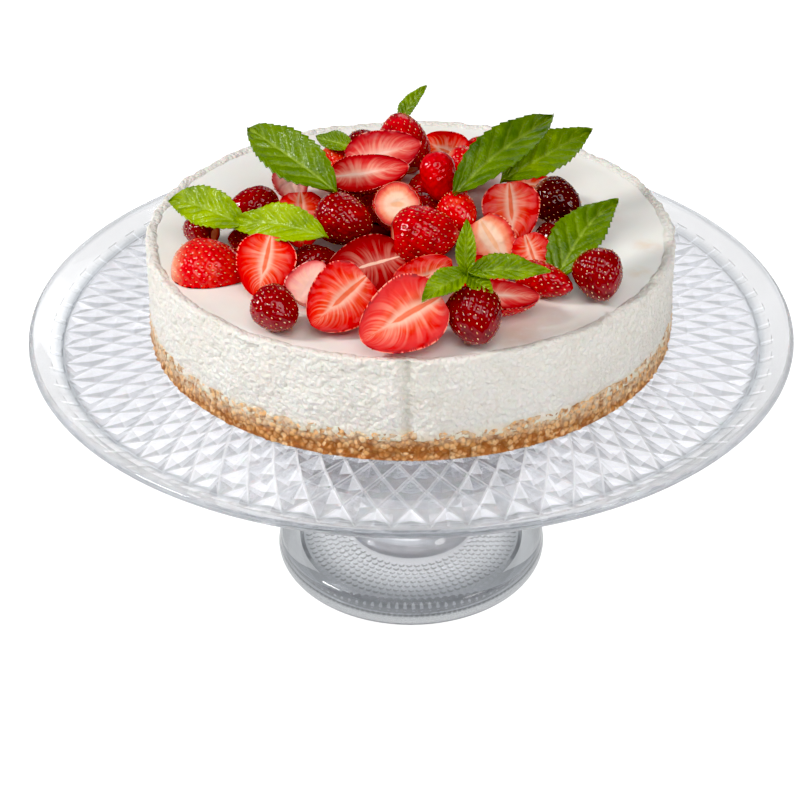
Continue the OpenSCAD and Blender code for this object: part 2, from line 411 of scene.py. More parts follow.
def seed_material():
    """Strawberry seed: straw yellow to brown, a different tone for each seed."""
    s = Shader("strawberry_seed")
    s.set(Roughness=0.3, Coat_Weight=0.3)
    s.set(Base_Color=s.ramp(s.noise(260.0, 1.0), [
        (0.3, (0.45, 0.10, 0.03)), (0.48, (0.80, 0.42, 0.16)), (0.66, (0.94, 0.76, 0.46)),
    ]))
    return s.material


def flesh_material(name, tones, core_tone, core_edge, fibre_share, halo_share):
    """Cut strawberry flesh: a core, fibres that fan out from it to the seeds, and a thin red edge.

    tones run from the middle to the skin. The attribute holds the fibre's place in the fan, the
    closeness to the skin, and the distance from the core in thirds of its half width.
    """
    s = Shader(name)
    s.set(Roughness=0.3, Specular_IOR_Level=0.12, Coat_Weight=0.12, Coat_Roughness=0.08)
    s.set(Subsurface_Weight=0.05, Subsurface_Scale=1.0 * MM)
    fan_at, out, core = s.attribute("berry")
    chance = s.times(s.node("ShaderNodeObjectInfo").outputs["Random"], 60.0)
    patches = s.noise(200.0, 2.0)
    places = (0.0, 0.3, 0.58, 0.86, 1.0)
    colour = s.ramp(s.vary(out, patches, 0.22), list(zip(places, tones)))
    at = s.combine(s.times(fan_at, 36.0), s.times(out, 0.9), chance)
    fibre = s.mask(s.noise(1.0, 1.0, 0.5, at), 0.38, 0.74)
    reach = s.times(s.mask(out, 0.95, 0.3), s.mask(core, core_edge * 0.6, core_edge))
    lit = s.times(s.times(fibre, reach), fibre_share)
    colour = s.mix(lit, colour, (0.96, 0.56, 0.40))
    near = s.mask(core, core_edge + 0.55, core_edge)
    halo = s.times(s.times(near, near), halo_share)
    colour = s.mix(halo, colour, (0.95, 0.60, 0.46))
    core_at = s.vary(core, patches, 0.11)
    colour = s.mix(s.mask(core_at, core_edge, core_edge * 0.5), colour, core_tone)
    wet = s.plus(s.noise(420.0, 3.0, 0.6), s.times(fibre, 0.3))
    return s.finish(colour, wet, 0.35, 0.4 * MM)


def mint_material():
    """Mint leaf. The attribute holds the veins, how young the leaf is and its underside."""
    s = Shader("mint_leaf")
    s.set(Roughness=0.3, Specular_IOR_Level=0.32)
    vein, young, under = s.attribute("leaf")
    colour = s.ramp(s.vary(young, s.noise(80.0, 4.0, 0.6), 1.2), [
        (0.0, (0.045, 0.105, 0.008)), (0.5, (0.13, 0.22, 0.004)), (1.0, (0.33, 0.45, 0.002)),
    ])
    colour = s.mix(s.times(vein, 0.6), colour, (0.38, 0.50, 0.07))
    colour = s.mix(s.times(under, 0.3), colour, (0.25, 0.34, 0.12))
    net = s.mask(s.cells(520.0, "DISTANCE_TO_EDGE").outputs["Distance"], 0.0, 0.22)
    return s.finish(colour, net, 0.35, 0.3 * MM)


FLOOR_R = 4.0
FLOOR_SIDES = 96
FLOOR_GLOW, GLOW_NEAR_STAND, GLOW_SEEN = 0.48, 0.37, 0.93


def floor_material():
    """A white table that glows. Glass sees it dimmer far away, and the camera sees it white all over."""
    s = Shader("studio_floor")
    away = s.length(s.coords())
    grey = s.mix(s.mask(away, 0.8, 2.2), (0.36, 0.36, 0.36), (0.7, 0.705, 0.71))
    glow = s.plus(s.times(s.mask(away, 1.9, 0.7), GLOW_NEAR_STAND), FLOOR_GLOW)
    glow = s.larger(glow, s.times(s.ray("Is Camera Ray"), GLOW_SEEN))
    s.set(Roughness=0.8, Base_Color=grey, Emission_Color=(1.0, 1.0, 1.0), Emission_Strength=glow)
    return s.material


# The plate's glass by distance from the axis: a faint tint, with painted shade in a grey ring at the
# pattern's edge and a dark ring at the lip.
PLATE_TINTS_AND_SHADE = [
    (167.5 * MM, (0.925, 0.93, 0.955)), (169.5 * MM, (0.58, 0.60, 0.63)), (171.5 * MM, (0.74, 0.76, 0.78)),
    (174 * MM, (0.99, 0.992, 0.998)), (182.8 * MM, (0.99, 0.992, 0.998)), (183.8 * MM, (0.86, 0.87, 0.89)),
    (184.8 * MM, (0.48, 0.50, 0.52)),
]
PLATE_GLASS = glass_material("clear_glass", PLATE_TINTS_AND_SHADE, (0.97, 0.975, 0.985), 0.38)
GROOVE_GLASS = glass_material("groove_glass", PLATE_TINTS_AND_SHADE, (0.97, 0.975, 0.985), 0.3, 0.55)
# The foot's glass: a grey tint with painted shade that grows dark towards the rim.
FOOT_GLASS = glass_material("thick_glass_painted_shade", [
    (30 * MM, (0.76, 0.765, 0.775)), (48 * MM, (0.73, 0.74, 0.75)), (57 * MM, (0.50, 0.515, 0.53)),
    (64 * MM, (0.32, 0.335, 0.35)),
], (0.90, 0.91, 0.93), 0.22)
CRUMB = crumb_material()
CHEESE = cheese_material()
CREAM = cream_material()
SKIN = skin_material()
SEED = seed_material()
FLESH = {
    "bright": flesh_material("strawberry_flesh", (
        (0.88, 0.20, 0.08), (0.84, 0.075, 0.022), (0.77, 0.013, 0.004), (0.66, 0.003, 0.004),
        (0.32, 0.001, 0.004)), (0.86, 0.17, 0.075), 0.17, 0.4, 0.7),
    # Painted shade: a dark flesh for a cut face that lies in shadow.
    "deep": flesh_material("strawberry_flesh_painted_shade", (
        (0.50, 0.035, 0.03), (0.44, 0.014, 0.014), (0.38, 0.006, 0.009), (0.30, 0.003, 0.007),
        (0.13, 0.002, 0.004)), (0.94, 0.60, 0.46), 0.12, 0.25, 0.12),
    "pink": flesh_material("strawberry_pink_flesh", (
        (0.88, 0.36, 0.29), (0.78, 0.13, 0.10), (0.66, 0.03, 0.03), (0.50, 0.008, 0.014),
        (0.24, 0.002, 0.006)), (0.93, 0.58, 0.48), 0.16, 0.4, 0.4),
    "frosted": flesh_material("strawberry_frosted_flesh", (
        (0.94, 0.66, 0.60), (0.92, 0.52, 0.46), (0.88, 0.36, 0.32), (0.72, 0.09, 0.09),
        (0.34, 0.004, 0.010)), (0.93, 0.58, 0.50), 0.2, 0.8, 0.5),
    "creamy": flesh_material("strawberry_creamy_flesh", (
        (0.95, 0.80, 0.62), (0.94, 0.66, 0.46), (0.90, 0.27, 0.13), (0.74, 0.03, 0.015),
        (0.34, 0.003, 0.007)), (0.93, 0.52, 0.30), 0.26, 0.4, 0.45),
}
MINT = mint_material()


# ------------------------------------------------------------------- glass plate

# Shares are of the plate's radius, and a diamond is CELL_STRETCH times as long as it is wide.
CELLS_ROUND = 70
RING_COLUMNS = 4 * CELLS_ROUND
CELL_STRETCH = 1.64
PATTERN_SHARE = 0.917
BAR_RING_SHARE = 0.955
BOSS_R = 46 * MM
RELIEF_BASE = 2.3 * MM
GROOVE_W = 0.65 * MM
GROOVE_STEP = 0.15 * MM
BAR_STRIP, BAR_INSET, BAR_DEPTH = 1, 0.5 * MM, 0.6 * MM
LIP_R = 2.0 * MM
PLATE_SHARP = math.radians(35)


def ring_of(bm, radius, z, count, turn=0.0):
    step = 2 * math.pi / count
    return [
        bm.verts.new((radius * math.cos((j + turn) * step), radius * math.sin((j + turn) * step), z))
        for j in range(count)
    ]


def bridge(bm, inner, outer):
    """Faces between two rings, inner first, facing down.

    The outer one may have several points to each inner one.
    """
    each = len(outer) // len(inner)
    faces = []
    for j, vert in enumerate(inner):
        following = inner[(j + 1) % len(inner)]
        edge = [outer[(j * each + k) % len(outer)] for k in range(each + 1)]
        faces.append(bm.faces.new([vert, following] + edge[::-1]))
    return faces


def diamond_cells(bm, rows):
    """Diamonds between rings of crossing points, each ring turned by half a cell from the last."""
    cells = []
    count = CELLS_ROUND
    for n in range(len(rows) - 2):
        ahead = n % 2
        for m in range(count):
            right = rows[n + 1][(m + ahead) % count]
            left = rows[n + 1][(m + ahead - 1) % count]
            cells.append(bm.faces.new([rows[n][m], left, rows[n + 2][m], right]))
    for m in range(count):
        cells.append(bm.faces.new([rows[0][m], rows[1][m], rows[0][(m + 1) % count]]))
    last, before = rows[-1], rows[-2]
    ahead = (len(rows) - 1) % 2
    for m in range(count):
        cells.append(bm.faces.new([last[m], last[(m + 1) % count], before[(m + ahead) % count]]))
    return cells


def cut_pattern(bm, pattern_r, groove_z):
    """Cut diamonds with grooves between them. Gives the rings of crossing points, the outer one first."""
    shrink = math.exp(-CELL_STRETCH * math.pi / CELLS_ROUND)
    row_count = int(math.log(BOSS_R / pattern_r) / math.log(shrink))
    rows = [
        ring_of(bm, pattern_r * shrink**n, groove_z, CELLS_ROUND, 0.5 * (n % 2))
        for n in range(row_count + 1)
    ]
    cells = diamond_cells(bm, rows)
    bm.normal_update()
    if cells[0].normal.z > 0:
        bmesh.ops.reverse_faces(bm, faces=cells)
    bmesh.ops.inset_individual(bm, faces=cells, thickness=GROOVE_W, depth=GROOVE_STEP)
    for groove in set(bm.faces).difference(cells):
        groove.material_index = 1
    bmesh.ops.poke(bm, faces=cells, offset=RELIEF_BASE - GROOVE_STEP)
    return rows


def add_boss(bm, rows, groove_z, under):
    """Inside the pattern: a step down to the plain boss that the stem meets."""
    turn = 0.5 * ((len(rows) - 1) % 2)
    step_ring = ring_of(bm, BOSS_R + 0.6 * MM, groove_z, CELLS_ROUND, turn)
    boss_ring = ring_of(bm, BOSS_R, under, CELLS_ROUND, turn)
    bridge(bm, boss_ring, step_ring)
    bridge(bm, step_ring, rows[-1])
    bm.faces.new(boss_ring[::-1])


def border_profile(pattern_r, low, high, top):
    """Outside the pattern: a fine line, the bars' slope, a clear band, the lip and the plate's top."""
    edge_r, under = high.x, low.z
    bars_r = edge_r * BAR_RING_SHARE
    under_slope = [
        (pattern_r + 0.5 * MM, under + RELIEF_BASE),
        (pattern_r + 0.8 * MM, under + 0.9 * MM),
        (bars_r, under + 3.9 * MM),
        (bars_r + 0.7 * MM, under + 4.4 * MM),
    ]
    lip = arc((edge_r - LIP_R, high.z - LIP_R), LIP_R, -60, 120, 14)
    top_slope = [(edge_r - 5.5 * MM, top + 5.0 * MM), (edge_r - 12 * MM, top + 1.2 * MM)]
    flat = [(edge_r - 15.5 * MM, top), (edge_r * 0.8, top), (edge_r * 0.4, top)]
    return under_slope + lip + top_slope + flat


def glass_plate():
    """The plate: cut diamonds underneath, a ring of small bars on the slope and a rounded lip."""
    low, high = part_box("glass_plate")
    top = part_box("crumb_base")[0].z
    groove_z, pattern_r = low.z + RELIEF_BASE, high.x * PATTERN_SHARE
    bm = bmesh.new()
    rows = cut_pattern(bm, pattern_r, groove_z)
    pattern_faces = set(bm.faces)
    add_boss(bm, rows, groove_z, low.z)
    rings = [ring_of(bm, r, z, RING_COLUMNS) for r, z in border_profile(pattern_r, low, high, top)]
    bridge(bm, rows[0], rings[0])
    strips = [bridge(bm, first, second) for first, second in zip(rings, rings[1:])]
    bm.faces.new(rings[-1])
    bm.normal_update()
    for m in range(CELLS_ROUND):
        pair = strips[BAR_STRIP][4 * m:4 * m + 2]
        bmesh.ops.inset_region(bm, faces=pair, thickness=BAR_INSET, depth=BAR_DEPTH)
        pattern_faces.update(pair)
    bmesh.ops.recalc_face_normals(bm, faces=bm.faces)
    for face in bm.faces:
        face.smooth = face not in pattern_faces
    mesh = bpy.data.meshes.new("pressed_plate")
    bm.to_mesh(mesh)
    bm.free()
    mesh.materials.append(PLATE_GLASS)
    mesh.materials.append(GROOVE_GLASS)
    mark_sharp(mesh, PLATE_SHARP)
    piece = add_to_scene("pressed_plate", mesh)
    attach(piece, "stand")
    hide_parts("glass_plate")


# -------------------------------------------------------------------- glass foot

# BEAD_SHARE is a bead's radius as a share of the step between rows, and NOTCH_GAP the share of a
# notch's pitch that stays smooth.
BEAD_ROWS = 8
BEAD_PITCH = 3.9 * MM
BEAD_H = 0.9 * MM
BEAD_SHARE = 0.46
FOOT_COLUMNS = 640
NOTCHES = 160
NOTCH_Z = 8.0 * MM
NOTCH_H = 0.8 * MM
NOTCH_DEPTH = 0.5 * MM
NOTCH_GAP = 0.45
FOOT_SHARP = math.radians(50)


def bead_height(radius, angle, row_r, count, size):
    """Height of a row of round beads at a point, as a share of a bead's height."""
    pitch = 2 * math.pi / count
    beside = ((angle / pitch + 0.5) % 1.0 - 0.5) * pitch * row_r
    away = np.hypot(beside, radius - row_r) / size
    return np.clip(1.0 - away**2, 0.0, None)


def glass_foot():
    """The foot: rings of beads pressed into its underside, a row of notches round it, and the stem."""
    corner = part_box("glass_foot")[1]
    foot_r, top = corner.x, corner.z - 0.05 * MM
    thick, round_r, rest_w, hollow = 16 * MM, 5 * MM, 7 * MM, 2 * MM
    rest_r = foot_r - round_r
    waist_r, flare_r, top_r, waist_z = 26 * MM, 41 * MM, BOSS_R, 62 * MM
    zone_out, zone_in = rest_r - rest_w - hollow - 1 * MM, 30 * MM
    underside = densify([(0, hollow), (zone_in - 2 * MM, hollow)], 6 * MM)
    underside += densify([(zone_in - 1.5 * MM, hollow), (zone_out, hollow)], 0.55 * MM)
    side = [(rest_r - rest_w - hollow, hollow), (rest_r - rest_w, 0.0)]
    side += arc((rest_r, round_r), round_r, -90, 0, 24)
    side = densify(side + arc((rest_r - 1 * MM, thick - round_r), round_r, 0, 90, 12), 0.4 * MM)
    crown_z, flare_h = thick + 1.5 * MM, 30 * MM
    ridges = [(r * MM, thick + 0.4 * MM) for r in (57, 52, 47)]
    flare = [
        (waist_r + (flare_r - waist_r) * (1 - math.sin(a)), crown_z + flare_h * (1 - math.cos(a)))
        for a in np.linspace(0, math.pi / 2, 16)
    ]
    neck = [
        (waist_r + (top_r - waist_r) * (1 - math.cos(a)), waist_z + (top - waist_z) * math.sin(a))
        for a in np.linspace(0, math.pi / 2, 24)
    ]
    profile = underside + side + ridges + flare + neck + [(0, top)]
    row_step = (zone_out - zone_in) / BEAD_ROWS

    def press(radii, angles, heights):
        radius, z = radii[0], heights[0]
        cut = np.zeros_like(angles)
        if z <= hollow + 0.01 * MM and zone_in - 1.6 * MM < radius < zone_out + 0.1 * MM:
            lift = np.zeros_like(angles)
            for row in range(BEAD_ROWS):
                row_r = zone_in + (row + 0.5) * row_step
                count = round(2 * math.pi * row_r / BEAD_PITCH)
                lift = np.maximum(lift, bead_height(radii, angles, row_r, count, row_step * BEAD_SHARE))
            heights = heights - lift * BEAD_H
        if radius > rest_r and abs(z - NOTCH_Z) < NOTCH_H:
            beside = np.abs((angles * NOTCHES / (2 * math.pi)) % 1.0 - 0.5) * 2
            cut = np.clip(1.0 - ((z - NOTCH_Z) / NOTCH_H) ** 2, 0, 1) * (beside > NOTCH_GAP)
            radii = radii - cut * NOTCH_DEPTH
        # The dark notch marks are painted shade for the glass material.
        return radii, heights, [(dark, 0.0, 0.0) for dark in cut]

    piece = turned("beaded_foot", profile, FOOT_COLUMNS, press, FOOT_GLASS, "glass")
    mark_sharp(piece.data, FOOT_SHARP)
    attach(piece, "stand")
    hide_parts("glass_foot")


# -------------------------------------------------------------------------- cake

def wobble(point, scale, seed=0.0):
    """Smooth noise from -1 to 1 at a point, for bumps about scale across."""
    return noise.noise(Vector(point) / scale + Vector((seed, seed * 0.7, seed * 1.3)))


def grain(point, scale, seed=0.0):
    """Rounded grains of about scale across: 1 at a grain's middle, 0 between grains."""
    distances, _ = noise.voronoi(Vector(point) / scale + Vector((seed, 0.0, seed)))
    return max(0.0, 1.0 - distances[0] * 1.25)


def crumb_base():
    """Crumb with grains pressed together, a ragged upper edge and a ragged foot."""
    low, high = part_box("crumb_base")
    radius, bottom, top = high.x, low.z, high.z
    lean = 0.6 * MM
    columns, step = 1400, 0.55 * MM
    side_h = top - bottom
    rows = int(side_h / step) + 4
    edge_in = radius - 7 * MM
    profile = [(0.0, bottom), (edge_in, bottom), (radius - 1.2 * MM, bottom)]
    profile += [
        (radius - lean * k / rows, bottom + 0.4 * MM + (side_h + 1.0 * MM) * k / rows)
        for k in range(rows + 1)
    ]
    profile += [(radius - lean - 1.6 * MM, top + 1.0 * MM), (edge_in, top), (0.0, top)]

    def press(r, angle, z):
        if r < edge_in + 1 * MM:
            return r, z, (0.5, 0.0, 0.0)
        here = (r * math.cos(angle), r * math.sin(angle), z)
        share = (z - bottom) / side_h
        coarse, fine = grain(here, 2.9 * MM), grain(here, 1.4 * MM, 5.0)
        bulk = wobble(here, 9 * MM)
        lift = 1.0 * coarse + 0.5 * fine
        edge = max(0.0, share - 0.55) / 0.45
        ragged = (wobble(here, 5 * MM, 3.0) * 1.6 + wobble(here, 14 * MM, 9.0) * 1.2) * MM * edge
        if z > bottom + 0.2 * MM:
            r += (1.3 * lift - 1.5 + 0.4 * bulk) * MM
            z = max(bottom, z + ragged + (fine - 0.4) * 0.4 * MM)
        buttery = 0.1 + 0.9 * max(0.0, -math.sin(angle)) ** 3
        wet = max(0.0, 1.0 - share * 1.7) * buttery
        dust_and_highlight = min(1.0, max(0.0, share - 0.05 - 0.5 * buttery) / 0.45)
        # The first mark is the grains' height, which the material turns into painted shade in the hollows.
        return r, z, (min(1.0, lift / 1.1), wet, dust_and_highlight)

    piece = turned("crumb_layer", profile, columns, each_point(press), CRUMB, "crumb")
    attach(piece, "cake")
    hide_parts("crumb_base")


SEAM_ANGLE = math.radians(-90.8)
SEAM_W = 2.3 * MM
SEAM_DEPTH = 2.0 * MM


def cheese_filling():
    """Set filling with a porous side, the ring's seam at the front and a raised ragged rim."""
    low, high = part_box("cheese_filling")
    cream_low, cream_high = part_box("cream_top")
    radius, bottom, top = high.x, low.z, high.z
    foot_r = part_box("crumb_base")[1].x - 0.7 * MM
    top_r = radius - 2.0 * MM
    rim_in, cream_z = cream_high.x, cream_high.z
    columns, step = 1100, 0.75 * MM
    side = densify([(foot_r - 0.4 * MM, bottom - 2.5 * MM), (top_r, top - 1.4 * MM)], step)
    crest = arc((top_r - 1.4 * MM, top - 1.4 * MM), 1.4 * MM, 15, 90, 4)
    rim = densify([(top_r - 2.0 * MM, top), (rim_in, cream_z), (rim_in - 1 * MM, cream_z - 1.2 * MM)], step)
    profile = [(0.0, bottom), (foot_r - 6 * MM, bottom)] + side + crest + rim + [(0.0, cream_low.z)]

    def press(r, angle, z):
        if r < rim_in - 1.5 * MM:
            return r, z, (0.5, 0.0, 0.0)
        here = (r * math.cos(angle), r * math.sin(angle), z)
        pores = wobble(here, 1.7 * MM) * 0.6 + wobble(here, 4.0 * MM, 4.0) * 0.5
        bulk = wobble(here, 12 * MM, 2.0) + 0.7 * wobble((here[0], here[1], z * 3), 26 * MM, 5.0)
        on_side = 1.0 if z < top - 1.0 * MM and r > top_r - 1.0 * MM else 0.5
        gap = (angle - SEAM_ANGLE + math.pi) % (2 * math.pi) - math.pi
        across = gap * radius / SEAM_W + 0.5 * wobble(here, 12 * MM, 11.0)
        seam = math.exp(-across * across) * on_side * (0.8 + 0.4 * wobble(here, 6 * MM, 12.0))
        new_r = r + (pores * 1.15 + bulk * 0.6 - 0.3) * MM * on_side - seam * SEAM_DEPTH
        new_z, lift = z, 0.5 + pores
        if z > cream_z - 1.5 * MM:
            flat = (here[0], here[1], 0.0)
            ragged = wobble(here, 4 * MM, 6.0) * 0.6 + wobble(flat, 22 * MM, 8.0) * 0.75
            inner = 0.9 if r < top_r - 2.5 * MM else 0.0
            new_r += (wobble(flat, 9 * MM, 7.0) * 1.2 - inner) * MM
            new_z += ragged * MM * min(1.0, (r - rim_in + 1.5 * MM) / (3 * MM))
            # The rim's higher mark keeps the painted shade of the hollows off it.
            lift += 0.5
        # The marks: the height, turned into painted shade in the hollows, the nearness to the bottom, and the
        # seam, turned into painted shade in its crease.
        return new_r, new_z, (lift, max(0.0, 1.0 - (z - bottom) / (3.5 * MM)), seam)

    piece = turned("cheese_layer", profile, columns, each_point(press), CHEESE, "cheese")
    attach(piece, "cake")
    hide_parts("cheese_filling")


# Juice stains and painted shadows on the cream: x, y and radius in mm, then how pink, beige and dark
# they are. The first row is juice pink and painted shadow under the pile of fruit, the second painted
# shadow there; the dark share is painted shadow, apart from the small speck at (86, -86), and the broad
# beige patch at (60, -98) is painted shadow.
STAINS_AND_SHADOWS = [
    (3, -16, 84, 1.0, 0.0, 0.0), (3, -10, 74, 0.0, 0.0, 0.9),
    (93, 10, 13, 0.16, 0.0, 0.0), (110, -22, 8, 0.0, 0.55, 0.0), (104, -48, 7, 0.0, 0.5, 0.0),
    (60, -98, 26, 0.0, 0.22, 0.0), (86, -86, 2, 0.0, 0.0, 0.9), (-58, -106, 12, 0.08, 0.1, 0.0),
    (46, -104, 14, 0.1, 0.35, 0.0), (-78, -70, 12, 0.04, 0.0, 0.0), (-104, -30, 9, 0.0, 0.3, 0.0),
]


def cream_top():
    """Cream poured on last: nearly flat, with soft swells, meeting the rim in a low curve."""
    low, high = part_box("cream_top")
    radius, bottom, top = high.x, low.z, high.z
    columns = 360
    surface = [(radius + 1.2 * MM, top - 0.9 * MM), (radius + 0.2 * MM, top - 0.2 * MM)]
    surface += densify([(radius - 1.5 * MM, top), (2 * MM, top)], 2.2 * MM)
    profile = [(0.0, bottom), (radius - 1 * MM, bottom)] + surface + [(0.0, top)]

    def press(r, angle, z):
        x, y = r * math.cos(angle), r * math.sin(angle)
        if z > top - 1.0 * MM:
            fade = min(1.0, max(0.0, (radius - r) / (5 * MM)))
            z -= (0.35 + 0.35 * wobble((x, y, 0.0), 26 * MM, 3.0)) * MM * fade
        shades = np.zeros(3)
        for stain_x, stain_y, size, *shade in STAINS_AND_SHADOWS:
            away = math.hypot(x - stain_x * MM, y - stain_y * MM) / (size * MM)
            shades = np.maximum(shades, max(0.0, 1.0 - away**2) * np.array(shade))
        return r, z, shades

    piece = turned("cream_layer", profile, columns, each_point(press), CREAM, "stain_and_shadow")
    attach(piece, "cake")
    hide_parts("cream_top")


# ------------------------------------------------------------------ strawberries

WIDE_AT = 0.32
END_CUT_SHARE = 0.6
SEED_PITCH = 3.1 * MM
DIMPLE_R = 1.15 * MM
DIMPLE_H = 0.8 * MM
SEED_SCATTER = 0.42 * MM
SEED_SINK = 0.16 * MM
SEED_PACKING = 0.87
SKIN_ROW_STEP, SKIN_COLUMN_STEP = 0.62 * MM, 0.7 * MM
SKIN_SLOT, SEED_SLOT, FLESH_SLOT = range(3)
STEM_MARK = (0.0, 0.3, 1.0)
# Rings of the hollow at the stem end: share of the berry's outline, and depth.
STEM_HOLLOW = ((0.6, 0.9 * MM), (0.25, 1.5 * MM))
STEM_HOLLOW_DEPTH = 1.6 * MM
WELD_REACH = 0.005 * MM


def berry_share(along):
    """A strawberry's radius as a share of half its girth, at a share of its length from the stem end."""
    along = np.clip(along, 0.0, 1.0)
    blunt = np.sqrt(np.clip(1 - ((WIDE_AT - along) / 0.36) ** 2, 0, 1))
    pointed = np.clip(1 - ((along - WIDE_AT) / (1 - WIDE_AT)) ** 2, 0, 1) ** 0.62
    return np.where(along < WIDE_AT, blunt, pointed)


def flat_faces(mesh):
    """The mesh's flat regions, largest first: (outward normal, points)."""
    found = {}
    for polygon in mesh.polygons:
        normal = polygon.normal
        height = normal.dot(mesh.vertices[polygon.vertices[0]].co)
        key = tuple(round(c * 50) for c in normal) + (round(height / (0.2 * MM)),)
        group = found.setdefault(key, [0.0, Vector(), []])
        group[0] += polygon.area
        group[1] += normal * polygon.area
        group[2].extend(polygon.vertices)
    groups = sorted(found.values(), key=lambda group: -group[0])
    return [(n.normalized(), [mesh.vertices[i].co.copy() for i in set(ids)]) for _, n, ids in groups]


def berry_frame(node, cut):
    """Where a strawberry lies: (matrix to the shared frame, length, girth).

    Its own X runs from the middle to the tip and its own Z out of the cut face. The flat stem end
    and the cut face of the CAD solid give both.
    """
    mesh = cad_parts[node].data
    flats = flat_faces(mesh)
    points = [v.co for v in mesh.vertices]
    if cut == "half":
        up, face_points = flats[0]
        stem, stem_points = next(flat for flat in flats[1:] if abs(flat[0].dot(up)) < 0.1)
        level = [p for p in stem_points if abs((p - face_points[0]).dot(up)) < 0.1 * MM]
        stem_at = (level[0] + max(level, key=lambda p: (p - level[0]).length)) / 2
        forward = -stem
    else:
        stem, stem_points = flats[1 if cut == "end" else 0]
        stem_at = sum(stem_points, Vector()) / len(stem_points)
        forward = -stem
        up = Vector((0, 0, 1)) if abs(forward.z) < 0.9 else Vector((0, 1, 0))
        up = (up - forward * up.dot(forward)).normalized()
    reach = max((p - stem_at).dot(forward) for p in points)
    length = reach / END_CUT_SHARE if cut == "end" else reach
    girth = 2 * max((p - stem_at - forward * (p - stem_at).dot(forward)).length for p in points)
    side = up.cross(forward)
    matrix = Matrix((forward, side, up)).transposed().to_4x4()
    matrix.translation = stem_at + forward * length / 2
    return matrix, length, girth


def seed_places(length, girth, limit):
    """Places of the seeds on the skin in the berry's own frame, in the spiral that real ones follow."""
    along = np.linspace(0.03, limit, 400)
    radii = berry_share(along) * girth / 2
    lengths = np.hypot(np.diff(along) * length, np.diff(radii))
    area = np.concatenate([[0], np.cumsum(lengths * math.pi * (radii[1:] + radii[:-1]))])
    count = int(area[-1] / (SEED_PITCH**2 * SEED_PACKING))
    at = np.interp((np.arange(count) + 0.5) / count * area[-1], area, along)
    angle = np.arange(count) * GOLDEN_ANGLE
    radius = berry_share(at) * girth / 2
    return np.column_stack([(at - 0.5) * length, radius * np.cos(angle), radius * np.sin(angle)])


class Build:
    """A mesh in the making: points with their marks, and faces with their material slots."""

    def __init__(self):
        self.verts, self.marks, self.faces, self.slots = [], [], [], []

    def add(self, point, mark):
        self.verts.append(tuple(point))
        self.marks.append(mark)

    def use_slot(self, slot):
        """Gives a material slot to the faces added since the last call."""
        self.slots.extend([slot] * (len(self.faces) - len(self.slots)))


def add_seeds(build, places, axis_points, sizes, mark):
    """Adds one small seed to the mesh at each place, lying along the skin with its point to the tip."""
    rings, round_count = 3, 6
    for place, axis_point, size in zip(places, axis_points, sizes):
        outward = Vector(place - axis_point).normalized()
        forward = Vector((1, 0, 0))
        forward = (forward - outward * forward.dot(outward)).normalized()
        side = outward.cross(forward)
        centre = Vector(place) - outward * SEED_SINK
        start = len(build.verts)
        for k in range(1, rings + 1):
            polar = math.pi * k / (rings + 1)
            for j in range(round_count):
                turn = 2 * math.pi * j / round_count
                build.add(
                    centre + forward * math.cos(polar) * 0.82 * size
                    + side * math.sin(polar) * math.cos(turn) * 0.46 * size
                    + outward * math.sin(polar) * math.sin(turn) * 0.36 * size, mark)
        tip = len(build.verts)
        build.add(centre + forward * 0.95 * size, mark)
        build.add(centre - forward * 0.85 * size, mark)
        last = start + (rings - 1) * round_count
        for ring in range(start, last, round_count):
            build.faces.extend(band(ring, ring + round_count, round_count))
        build.faces.extend(fan(tip, start, round_count) + fan(tip + 1, last, round_count))
    build.use_slot(SEED_SLOT)


def skin_grid(length, girth, cut, limit):
    """Rows of skin points from the stem end to the tip: (points, shares of length, rows, columns)."""
    rows = max(18, int(length / SKIN_ROW_STEP))
    columns = max(40, int(math.pi * girth / SKIN_COLUMN_STEP))
    if cut == "half":
        columns = columns // 2
        angles = math.pi + np.linspace(0, math.pi, columns)
    else:
        angles = np.arange(columns) * 2 * math.pi / columns
    share = np.linspace(0, 1, rows)
    along = limit * (share + 0.16 * np.sin(2 * math.pi * share) * (share > 0.5) * (limit == 1.0))
    radii = berry_share(along) * girth / 2
    points = np.stack([
        np.repeat((along - 0.5) * length, columns),
        np.outer(radii, np.cos(angles)).ravel(),
        np.outer(radii, np.sin(angles)).ravel(),
    ], axis=1)
    return points, np.repeat(along, columns), rows, columns


def dimple(points, seeds):
    """How deep each point lies in the dimple of its nearest seed, from 0 to 1."""
    tree = KDTree(len(seeds))
    for index, seed in enumerate(seeds):
        tree.insert(seed, index)
    tree.balance()
    away = np.array([tree.find(p)[2] for p in points]) / DIMPLE_R
    return np.exp(-away**2)


